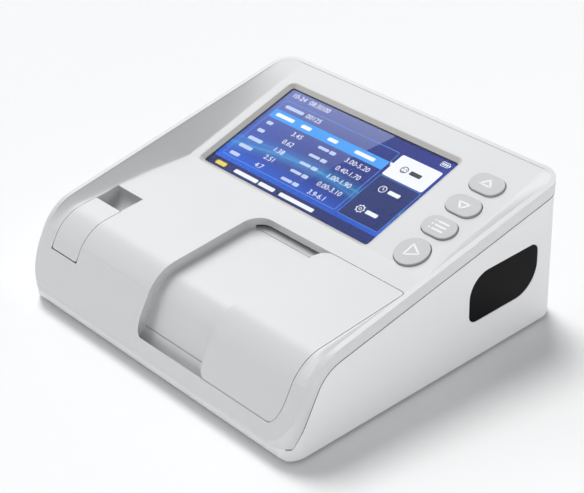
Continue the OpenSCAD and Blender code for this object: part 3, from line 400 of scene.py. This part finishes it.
# %% [markdown]
# The console slopes at 17 degrees, and everything on it is drawn in its own flat frame: u runs to the
# right and w up the slope from the lower left corner of the screen's picture, and n stands square to
# the surface, all in millimetres. One matrix then lays a finished mesh on the slope.

# %% The console's frame
CONSOLE_TILT = math.atan(20.9 / 68)
FOLD = Vector((0, 5.0, 41.5))
PICTURE_X, PICTURE_V = -60.2, 2.1
PICTURE_W, PICTURE_H = 98.0, 53.6
LCD_TOP = -2.7


def console_matrix(x, v, n):
    """Millimetres on the console to metres in the frame."""
    slope = Matrix.Translation(FOLD) @ Matrix.Rotation(CONSOLE_TILT, 4, "X")
    return Matrix.Scale(MM, 4) @ slope @ Matrix.Translation((x, v, n))


def piece_from(bm, name, material, matrix, body="case"):
    """Closes a bmesh into a finished piece that rides on a body."""
    bmesh.ops.transform(bm, matrix=matrix, verts=bm.verts)
    bmesh.ops.recalc_face_normals(bm, faces=bm.faces)
    mesh = bpy.data.meshes.new(name)
    bm.to_mesh(mesh)
    bm.free()
    mesh.materials.append(material)
    piece = bpy.data.objects.new(name, mesh)
    scene.collection.objects.link(piece)
    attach(piece, body)
    print(name, len(mesh.polygons), "faces")
    return piece


def gather(target, part):
    """Moves one small bmesh into a larger one."""
    holder = bpy.data.meshes.new("holder")
    part.to_mesh(holder)
    target.from_mesh(holder)
    part.free()
    bpy.data.meshes.remove(holder)


# %% [markdown]
# On the real object a thin dark line of shade runs between the cover and the base. The base has a
# narrow groove there, and a pale groove stays pale inside, so a strip of black is put in it as painted
# shade, not a real seal. It stands a little proud of the wall, still under the edge of the cover. Its
# faces come from a welded copy of the base: walls that hang together are gathered into regions, and the
# wide region with the least area is the back of the groove. A thickness outwards makes the strip of it.

# %% Black strip as painted shade in the parting groove
SHADE_STRIP_DEPTH = 1.02 * MM
GROOVE_WIDTH = 150 * MM
UPRIGHT = 0.02
shade_strip = bmesh.new()
shade_strip.from_mesh(nodes["base_housing"].data)
bmesh.ops.remove_doubles(shade_strip, verts=shade_strip.verts, dist=WELD_REACH)
shade_strip.normal_update()


def is_wall(face):
    middle = face.calc_center_median()
    return abs(face.normal.z) < UPRIGHT and face.normal.x * middle.x + face.normal.y * middle.y > 0


walls = {face for face in shade_strip.faces if is_wall(face)}
regions = []
while walls:
    region, waiting = set(), [walls.pop()]
    while waiting:
        face = waiting.pop()
        region.add(face)
        near = {other for edge in face.edges for other in edge.link_faces} & walls
        walls -= near
        waiting += near
    regions.append(region)


def width_of(region):
    places = [v.co.x for face in region for v in face.verts]
    return max(places) - min(places)


def area_of(region):
    return sum(face.calc_area() for face in region)


groove_back = min((region for region in regions if width_of(region) > GROOVE_WIDTH), key=area_of)
print("groove back:", len(groove_back), "faces,", round(area_of(groove_back) / MM ** 2), "mm2")
bmesh.ops.delete(shade_strip, geom=[face for face in shade_strip.faces if face not in groove_back],
                 context="FACES")
bmesh.ops.solidify(shade_strip, geom=shade_strip.faces[:], thickness=-SHADE_STRIP_DEPTH)
# The black strip is painted shade along the parting line, in the feet's black rubber finish.
piece_from(shade_strip, "parting_shade_strip", rubber_black, Matrix.Identity(4))

# %% [markdown]
# The screen's items are printed-thin tablets: a grid cell scaled to size, its corners rounded, and
# extruded by a hundredth of a millimetre. Figures are text made into mesh. Words are left as plain
# bars, so the screen reads as a table of values in any language.

# %% Flat shapes
FIGURE_SIZE = 3.7


def raise_up(bm, height):
    made = bmesh.ops.extrude_face_region(bm, geom=list(bm.faces))
    tops = [v for v in made["geom"] if isinstance(v, bmesh.types.BMVert)]
    bmesh.ops.translate(bm, vec=(0, 0, height), verts=tops)


def round_corners(bm, corner, steps):
    if corner > 0:
        bmesh.ops.bevel(bm, geom=list(bm.verts), offset=corner, affect="VERTICES", segments=steps,
                        profile=0.5, material=-1)


def hollow(bm, stroke):
    """Leaves only a line along the edge of a flat face."""
    inner = list(bm.faces)
    bmesh.ops.inset_region(bm, faces=inner, thickness=stroke, use_boundary=True,
                           use_even_offset=True)
    bmesh.ops.delete(bm, geom=inner, context="FACES_ONLY")


def sheet(u0, w0, u1, w1, low, corner):
    bm = bmesh.new()
    bmesh.ops.create_grid(bm, x_segments=1, y_segments=1, size=0.5)
    bmesh.ops.scale(bm, vec=(u1 - u0, w1 - w0, 1), verts=bm.verts)
    bmesh.ops.translate(bm, vec=((u0 + u1) / 2, (w0 + w1) / 2, low), verts=bm.verts)
    round_corners(bm, corner, 4)
    return bm


def tablet(u0, w0, u1, w1, low, high, corner=0.0):
    bm = sheet(u0, w0, u1, w1, low, corner)
    raise_up(bm, high - low)
    return bm


def frame_line(u0, w0, u1, w1, stroke, corner, layer):
    """A hollow rounded rectangle of one stroke width."""
    bm = sheet(u0, w0, u1, w1, layer[0], corner)
    hollow(bm, stroke)
    raise_up(bm, layer[1] - layer[0])
    return bm


def outline(sides, radius, stroke, low, high, turn=0.0, corner=0.0):
    """A closed line round a regular figure, such as a ring or a hollow triangle."""
    bm = bmesh.new()
    bmesh.ops.create_circle(bm, cap_ends=True, segments=sides, radius=radius)
    round_corners(bm, corner, 3)
    hollow(bm, stroke)
    bmesh.ops.rotate(bm, cent=(0, 0, 0), matrix=Matrix.Rotation(turn, 3, "Z"), verts=bm.verts)
    bmesh.ops.translate(bm, vec=(0, 0, low), verts=bm.verts)
    raise_up(bm, high - low)
    return bm


def figures(body, u, w, low, high):
    """Plain numbers as mesh, set at a place."""
    curve = bpy.data.curves.new("figures", "FONT")
    curve.body = body
    curve.size = FIGURE_SIZE
    curve.align_x = "LEFT"
    curve.align_y = "CENTER"
    curve.resolution_u = 4
    curve.extrude = (high - low) / 2
    holder = bpy.data.objects.new("figures", curve)
    scene.collection.objects.link(holder)
    graph = bpy.context.evaluated_depsgraph_get()
    mesh = bpy.data.meshes.new_from_object(holder.evaluated_get(graph))
    bm = bmesh.new()
    bm.from_mesh(mesh)
    bmesh.ops.translate(bm, vec=(u, w, (low + high) / 2), verts=bm.verts)
    bpy.data.objects.remove(holder)
    bpy.data.curves.remove(curve)
    bpy.data.meshes.remove(mesh)
    return bm


def moved(bm, u, w):
    bmesh.ops.translate(bm, vec=(u, w, 0), verts=bm.verts)
    return bm


# %% [markdown]
# The picture behind the glass is a lit sheet with a material of its own. A Mapping node turns the
# frame's coordinates into shares of the picture, 0 to 1 each way, and sums of simple shapes do the
# rest: a deep blue, brighter towards the lower left, a painted reflection of glare, which is a pale
# sheen over the upper left that stops at a slanting line, and two thin streaks of light.

# %% Screen picture material


def glowing(name):
    """A nearly black, dull surface that gives its own light. Its Emission Color is still to link."""
    material = bpy.data.materials.new(name)
    material.use_nodes = True
    shader = material.node_tree.nodes["Principled BSDF"]
    shader.inputs["Base Color"].default_value = (0.01, 0.01, 0.012, 1)
    shader.inputs["Roughness"].default_value = 0.7
    shader.inputs["Specular IOR Level"].default_value = 0.0
    shader.inputs["Emission Strength"].default_value = 1.0
    return material, material.node_tree, shader


def lit(name, color):
    """A glowing ink of the screen, with a slow drift of tone."""
    material, tree, shader = glowing(name)
    drift = place_group(tree, "tone", Color=(*color, 1), Amount=0.06, Scale=60.0)
    tree.links.new(drift.outputs["Color"], shader.inputs["Emission Color"])
    return material


def ramp(tree, value, stops):
    node = tree.nodes.new("ShaderNodeValToRGB")
    node.color_ramp.elements[0].position = stops[0][0]
    node.color_ramp.elements[0].color = (*stops[0][1], 1)
    node.color_ramp.elements[1].position = stops[-1][0]
    node.color_ramp.elements[1].color = (*stops[-1][1], 1)
    for position, color in stops[1:-1]:
        element = node.color_ramp.elements.new(position)
        element.color = (*color, 1)
    tree.links.new(value, node.inputs["Fac"])
    return node.outputs["Color"]


def blend_colors(tree, factor, a, b, mode="MIX"):
    node = tree.nodes.new("ShaderNodeMix")
    node.data_type = "RGBA"
    node.blend_type = mode
    for socket, value in ((node.inputs[0], factor), (node.inputs[6], a), (node.inputs[7], b)):
        if isinstance(value, tuple):
            socket.default_value = (*value, 1)
        elif isinstance(value, (int, float)):
            socket.default_value = value
        else:
            tree.links.new(value, socket)
    return node.outputs[2]


picture_material, tree, shader = glowing("screen_picture")
coords = tree.nodes.new("ShaderNodeTexCoord")
local = tree.nodes.new("ShaderNodeMapping")
local.vector_type = "TEXTURE"
corner_of_picture = console_matrix(PICTURE_X, PICTURE_V, LCD_TOP).translation
local.inputs["Location"].default_value = corner_of_picture
local.inputs["Rotation"].default_value = (CONSOLE_TILT, 0, 0)
local.inputs["Scale"].default_value = (PICTURE_W * MM, PICTURE_H * MM, 1)
tree.links.new(coords.outputs["Object"], local.inputs["Vector"])
split = tree.nodes.new("ShaderNodeSeparateXYZ")
tree.links.new(local.outputs["Vector"], split.inputs["Vector"])
across, upward = split.outputs["X"], split.outputs["Y"]

ground = ramp(tree, across, [(0.0, (0.004, 0.050, 0.40)), (0.35, (0.003, 0.030, 0.28)),
                             (0.7, (0.001, 0.013, 0.20)), (0.93, (0.001, 0.018, 0.24)),
                             (1.0, (0.002, 0.035, 0.32))])
low_glow = ramp(tree, upward, [(0.0, (0.004, 0.13, 0.62)), (0.14, (0.004, 0.12, 0.60)),
                               (0.3, (0, 0.01, 0.06)), (1.0, (0, 0, 0))])
ground = blend_colors(tree, 0.55, ground, low_glow, "ADD")
for rise, lean, bend, color in ((0.285, 0.13, 0.05, (0.03, 0.34, 0.42)),
                                (0.36, -0.05, 0.06, (0.02, 0.16, 0.30))):
    wave = math_node(tree, "SINE", math_node(tree, "MULTIPLY", across, 4.2))
    height = math_node(tree, "ADD", math_node(tree, "MULTIPLY", across, lean), rise)
    height = math_node(tree, "ADD", height, math_node(tree, "MULTIPLY", wave, bend))
    distance = math_node(tree, "ABSOLUTE", math_node(tree, "SUBTRACT", upward, height))
    streak = ramp(tree, distance, [(0.0, (1, 1, 1)), (0.012, (0.35, 0.35, 0.35)),
                                   (0.09, (0, 0, 0))])
    ground = blend_colors(tree, streak, ground, blend_colors(tree, 0.8, ground, color, "ADD"))

# Painted reflection: a pale sheen of glare over the upper left of the picture, cut off at a slanting
# line and stronger towards the top. It is drawn into the lit picture, not reflected by the glass.
slant = math_node(tree, "SUBTRACT", math_node(tree, "MULTIPLY", upward, 0.193), across)
edge = math_node(tree, "ADD", slant, 0.446)
reflection_edge = ramp(tree, edge, [(0.0, (0, 0, 0)), (0.004, (1, 1, 1))])
reflection_fall = ramp(tree, upward, [(0.15, (0, 0, 0)), (0.6, (0.16, 0.16, 0.16)),
                                 (1.0, (0.46, 0.46, 0.46))])
painted_reflection = blend_colors(tree, 1.0, reflection_edge, reflection_fall, "MULTIPLY")
# The pale lilac mixed over the blue here is the painted reflection's colour.
picture = blend_colors(tree, painted_reflection, ground, (0.36, 0.40, 0.66))
tree.links.new(picture, shader.inputs["Emission Color"])

ink_white = lit("ink_white", (0.93, 0.95, 1.0))
ink_soft = lit("ink_soft", (0.55, 0.66, 0.92))
ink_line = lit("ink_line", (0.10, 0.34, 0.85))
ink_band = lit("ink_band", (0.05, 0.36, 0.93))
ink_navy = lit("ink_navy", (0.004, 0.018, 0.15))
ink_deep = lit("ink_deep", (0.003, 0.012, 0.11))
ink_yellow = lit("ink_yellow", (0.90, 0.66, 0.10))
ink_grey = lit("ink_grey", (0.03, 0.035, 0.06))
print("screen inks made")

# %% [markdown]
# The layers of the screen lie in the tenth of a millimetre between the display's face and its glass,
# each a little above the last: picture, panels, band and card, then figures and bars.

# %% Screen layers
SHEET = (0.004, 0.012)
PANEL = (0.016, 0.024)
BAND = (0.028, 0.036)
INK = (0.040, 0.048)
on_screen = console_matrix(PICTURE_X, PICTURE_V, LCD_TOP)


def screen_piece(bm, name, material):
    return piece_from(bm, name, material, on_screen)


screen_piece(tablet(0.2, 0.2, PICTURE_W - 0.2, PICTURE_H - 0.2, *SHEET), "screen_picture",
             picture_material)

TABLE_BOX = (2.7, 8.0, 71.6, 46.9)
SIDE_BOX = (73.3, 7.8, 96.0, 33.2)
CARD_BOX = (73.3, 33.65, 95.6, 46.7)

panels = tablet(0.2, 0.2, PICTURE_W - 0.2, 5.6, *PANEL)
gather(panels, tablet(*SIDE_BOX, *PANEL, corner=0.8))
screen_piece(panels, "screen_panels", ink_navy)
screen_piece(tablet(0.2, 0.2, 12.6, 5.6, *BAND), "screen_corner", ink_deep)
screen_piece(tablet(2.7, 35.3, 71.4, 40.65, *PANEL), "screen_band", ink_band)

card = tablet(*CARD_BOX, *PANEL, corner=0.9)
gather(card, moved(outline(3, 1.3, 0.64, *PANEL, turn=math.pi), 72.9, 40.2))
screen_piece(card, "screen_card", ink_white)

lines = frame_line(*TABLE_BOX, 0.28, 0.9, BAND)
gather(lines, frame_line(*SIDE_BOX, 0.2, 0.8, BAND))
screen_piece(lines, "screen_lines", ink_line)

# %% [markdown]
# The table's values are made up: five rows of a result and its range, between bars that stand for a
# name and a unit. The side column has a clock and a toothed wheel beside bars, and the battery sits at
# the top right.

# %% Screen figures
ROWS = (("3.45", "3.00-5.20"), ("0.62", "0.40-1.70"), ("1.38", "1.00-1.90"),
        ("2.51", "0.00-3.10"), ("4.7", "3.9-6.1"))
ROW_TOP, ROW_STEP = 32.15, 5.46
COLUMNS = (5.5, 21.4, 37.8, 53.9)
ICON_U, CLOCK_W, WHEEL_W = 80.4, 27.15, 14.2

inks = figures("10-24  08:30:00", 2.6, 50.7, *INK)
gather(inks, figures("00125", 18.4, 43.7, *INK))
for i, (value, limits) in enumerate(ROWS):
    level = ROW_TOP - i * ROW_STEP
    gather(inks, figures(value, COLUMNS[1], level, *INK))
    gather(inks, figures(limits, COLUMNS[3], level, *INK))
for start, stretch in zip(COLUMNS, (11.0, 5.8, 5.6, 11.4)):
    gather(inks, tablet(start, 37.0, start + stretch, 39.0, *INK, corner=0.6))
gather(inks, frame_line(90.7, 49.6, 94.9, 52.3, 0.3, 0.5, INK))
gather(inks, tablet(95.0, 50.4, 95.5, 51.5, *INK))
for cell in range(3):
    gather(inks, tablet(91.4 + cell * 1.05, 50.3, 92.1 + cell * 1.05, 51.6, *INK))
for centre_w in (CLOCK_W, WHEEL_W):
    gather(inks, moved(outline(24, 1.9, 0.36, *INK), ICON_U, centre_w))
gather(inks, tablet(80.25, 27.0, 80.55, 28.4, *INK))
gather(inks, tablet(80.25, 26.9, 81.3, 27.2, *INK))
gather(inks, moved(outline(16, 0.75, 0.3, *INK), ICON_U, WHEEL_W))
for tooth in range(8):
    turn = tooth * math.tau / 8
    gather(inks, moved(tablet(-0.25, -0.25, 0.25, 0.25, *INK), ICON_U + 2.05 * math.cos(turn),
                       WHEEL_W + 2.05 * math.sin(turn)))
for centre_w in (CLOCK_W, WHEEL_W):
    gather(inks, tablet(83.6, centre_w - 1.0, 89.8, centre_w + 1.0, *INK, corner=0.5))
for start, end in ((16.4, 30.8), (31.8, 41.2), (44.4, 64.5)):
    gather(inks, tablet(start, 1.9, end, 3.9, *INK, corner=0.5))
screen_piece(inks, "screen_figures", ink_white)

faint = tablet(5.5, 42.8, 16.6, 44.6, *INK, corner=0.5)
for i, stretch in enumerate((3.6, 3.9, 8.3, 7.8, 5.6)):
    level = ROW_TOP - i * ROW_STEP
    gather(faint, tablet(COLUMNS[0], level - 0.95, COLUMNS[0] + stretch, level + 0.95, *INK,
                         corner=0.5))
    gather(faint, tablet(COLUMNS[2], level - 0.75, COLUMNS[2] + 6.2, level + 0.75, *INK, corner=0.5))
    gather(faint, tablet(COLUMNS[2] + 6.9, level - 0.95, COLUMNS[2] + 10.2, level + 0.95, *INK,
                         corner=0.5))
screen_piece(faint, "screen_bars", ink_soft)

screen_piece(tablet(4.6, 1.8, 10.8, 4.0, *INK, corner=0.5), "screen_prompt", ink_yellow)
card_marks = moved(outline(24, 1.9, 0.42, *INK), 80.2, 40.1)
for dot in (-0.7, 0.7):
    gather(card_marks, moved(tablet(-0.3, -0.3, 0.3, 0.3, *INK, corner=0.2), 80.2 + dot, 40.5))
gather(card_marks, tablet(79.3, 38.9, 81.1, 39.3, *INK))
gather(card_marks, tablet(83.4, 39.0, 89.4, 41.2, *INK, corner=0.5))
screen_piece(card_marks, "screen_card_marks", ink_grey)

# %% [markdown]
# Each key carries a white line mark: a flat triangle up and one down, a list, and on the round start
# key a larger triangle that points to the right. A mark is a closed line a twentieth of a millimetre
# proud, and rides on its own key.

# %% Key marks
KEY_X = 57.4
KEY_RISE = 0.9
MARK = (KEY_RISE + 0.005, KEY_RISE + 0.055)
ARROW = (1.28, 0.92)


def key_mark(bm, name, v, body):
    return piece_from(bm, name, mark_white, console_matrix(KEY_X, v, 0), body)


def triangle(radius, stretch, turn):
    bm = outline(3, radius, 0.78, *MARK, corner=0.5)
    bmesh.ops.scale(bm, vec=(*stretch, 1), verts=bm.verts)
    bmesh.ops.rotate(bm, cent=(0, 0, 0), matrix=Matrix.Rotation(turn, 3, "Z"), verts=bm.verts)
    return bm


key_mark(triangle(3.2, ARROW, 0), "mark_up", 50.8, "up")
key_mark(triangle(3.2, ARROW, math.pi), "mark_down", 37.0, "down")
key_mark(triangle(4.4, (1, 1), -math.pi / 2), "mark_start", 7.8, "start")
rows = bmesh.new()
for row in (-2.1, 0, 2.1):
    gather(rows, tablet(-2.2, row - 0.42, 3.5, row + 0.42, *MARK, corner=0.3))
    gather(rows, tablet(-3.8, row - 0.44, -2.9, row + 0.44, *MARK, corner=0.35))
key_mark(rows, "mark_menu", 23.2, "menu")

# %% [markdown]
# The floor is a wide pale sheet. It is stage, not part of the object, and its matt white keeps the
# soft shadow. It lies a hair lower than the feet, so that the two faces don't fight.

# %% Floor
FLOOR_SPAN = 8.0
FLOOR_DROP = 0.05 * MM
floor_mesh = bpy.data.meshes.new("floor")
floor_shape = bmesh.new()
bmesh.ops.create_grid(floor_shape, x_segments=1, y_segments=1, size=FLOOR_SPAN / 2)
floor_shape.to_mesh(floor_mesh)
floor_shape.free()
floor = bpy.data.objects.new("floor", floor_mesh)
floor.location.z = -FLOOR_DROP
scene.collection.objects.link(floor)
floor_mesh.materials.append(finish_of("floor_white", (0.92, 0.92, 0.92), 0.9, tone=0.0, depth=0.0))
print("floor span (m):", FLOOR_SPAN)
